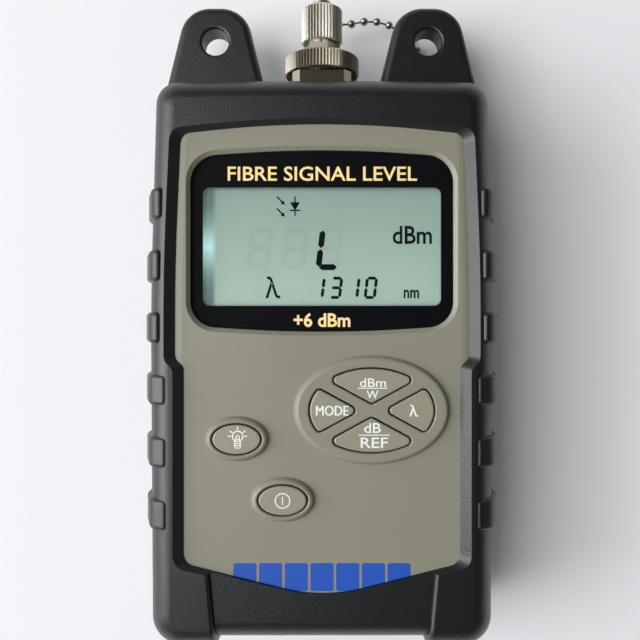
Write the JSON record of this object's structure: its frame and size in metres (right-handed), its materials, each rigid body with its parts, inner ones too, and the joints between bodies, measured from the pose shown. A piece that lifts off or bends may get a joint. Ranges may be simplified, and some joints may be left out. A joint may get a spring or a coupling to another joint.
{
  "type": "optical power meter",
  "caption": "Handheld optical power meter in a rubber boot with strap lugs, a display, six sprung keys, a fibre port with a screwed adapter and a chained screw cap.",
  "frame": {"origin": "centre of the whole object's footprint, on the surface that its back lies on", "axes": "+Z out of the display, +Y towards the fibre port, +X to the right seen from the front"},
  "size_m": [0.0816, 0.1534, 0.036],
  "materials": {
    "boot_rubber": "moulded, fine grain",
    "case_plastic": "fine grain",
    "key_plastic": "fine grain with white print",
    "window_acrylic": "clear acrylic, printed black behind",
    "lcd_glass": "grey-green reflective display",
    "guide_acrylic": "frosted",
    "led_resin": "white",
    "holder_plastic": "plain",
    "elastomer": "plain",
    "foam": "plain",
    "board_laminate": "solder mask",
    "component_resin": "plain",
    "keypad_silicone": "plain",
    "carbon": "plain",
    "cell_wrap": "plain wrap",
    "spring_steel": "nickel-plated",
    "screw_steel": "zinc-plated",
    "plated_brass": "nickel-plated brass",
    "anodised_cap": "plain turned",
    "bead_chain_metal": "nickel-plated brass"
  },
  "bodies": {
    "meter": {"rubber_boot": "boot_rubber", "front_case": "case_plastic", "rear_case": "case_plastic", "battery_door": "case_plastic", "display_window": "window_acrylic", "lcd_gasket": "foam", "lcd_panel": "lcd_glass", "backlight_guide": "guide_acrylic", "backlight_leds": "led_resin", "lcd_holder": "holder_plastic", "zebra_strips": "elastomer", "main_board": "board_laminate", "board_components": "component_resin", "keypad_mat": "keypad_silicone", "contact_pills": "carbon", "batteries": "cell_wrap", "battery_springs": "spring_steel", "battery_plates": "spring_steel", "case_screws": "screw_steel", "board_screws": "screw_steel", "door_screw": "screw_steel", "port_body": "plated_brass", "port_nut": "plated_brass", "port_washer": "plated_brass", "photodiode": "plated_brass", "preamp_board": "board_laminate", "chain_anchor": "spring_steel", "chain_screw": "screw_steel", "chain_beads": "bead_chain_metal", "chain_links": "bead_chain_metal"},
    "key_unit_body": {"key_unit": "key_plastic"},
    "key_wavelength_body": {"key_wavelength": "key_plastic"},
    "key_reference_body": {"key_reference": "key_plastic"},
    "key_mode_body": {"key_mode": "key_plastic"},
    "key_backlight_body": {"key_backlight": "key_plastic"},
    "key_power_body": {"key_power": "key_plastic"},
    "adapter_body": {"fibre_adapter": "plated_brass"},
    "ring_body": {"adapter_ring": "plated_brass"},
    "eyelet_body": {"cap_eyelet": "spring_steel"},
    "cap_body": {"dust_cap": "anodised_cap"}
  },
  "joints": [
    {"name": "press_unit", "type": "slide", "parent": "meter", "child": "key_unit_body", "axis": [0, 0, -1], "range_m": [0, 0.0008], "stiffness_N_per_m": 1500, "deforming": ["keypad_mat"]},
    {"name": "press_wavelength", "type": "slide", "parent": "meter", "child": "key_wavelength_body", "axis": [0, 0, -1], "range_m": [0, 0.0008], "stiffness_N_per_m": 1500, "deforming": ["keypad_mat"]},
    {"name": "press_reference", "type": "slide", "parent": "meter", "child": "key_reference_body", "axis": [0, 0, -1], "range_m": [0, 0.0008], "stiffness_N_per_m": 1500, "deforming": ["keypad_mat"]},
    {"name": "press_mode", "type": "slide", "parent": "meter", "child": "key_mode_body", "axis": [0, 0, -1], "range_m": [0, 0.0008], "stiffness_N_per_m": 1500, "deforming": ["keypad_mat"]},
    {"name": "press_backlight", "type": "slide", "parent": "meter", "child": "key_backlight_body", "axis": [0, 0, -1], "range_m": [0, 0.0008], "stiffness_N_per_m": 1500, "deforming": ["keypad_mat"]},
    {"name": "press_power", "type": "slide", "parent": "meter", "child": "key_power_body", "axis": [0, 0, -1], "range_m": [0, 0.0008], "stiffness_N_per_m": 1500, "deforming": ["keypad_mat"]},
    {"name": "adapter_pull", "type": "slide", "parent": "meter", "child": "adapter_body", "axis": [0, 1, 0], "range_m": [0, 0.003], "deforming": ["chain_beads", "chain_links"]},
    {"name": "ring_turn", "type": "hinge", "parent": "adapter_body", "child": "ring_body", "pos_m": [0, 0.0564, 0.018], "axis": [0, 1, 0], "range_deg": [0, 1080]},
    {"name": "cap_travel", "type": "slide", "parent": "adapter_body", "child": "eyelet_body", "axis": [0, 1, 0], "range_m": [0, 0.00375], "deforming": ["chain_beads", "chain_links"]},
    {"name": "cap_turn", "type": "hinge", "parent": "eyelet_body", "child": "cap_body", "pos_m": [0, 0.0644, 0.018], "axis": [0, 1, 0], "range_deg": [0, 1800]}
  ],
  "couplings": [
    {"joint": "ring_turn", "follows": "adapter_pull", "rad_per_m": 6283.2},
    {"joint": "cap_turn", "follows": "cap_travel", "rad_per_m": 8377.6}
  ]
}
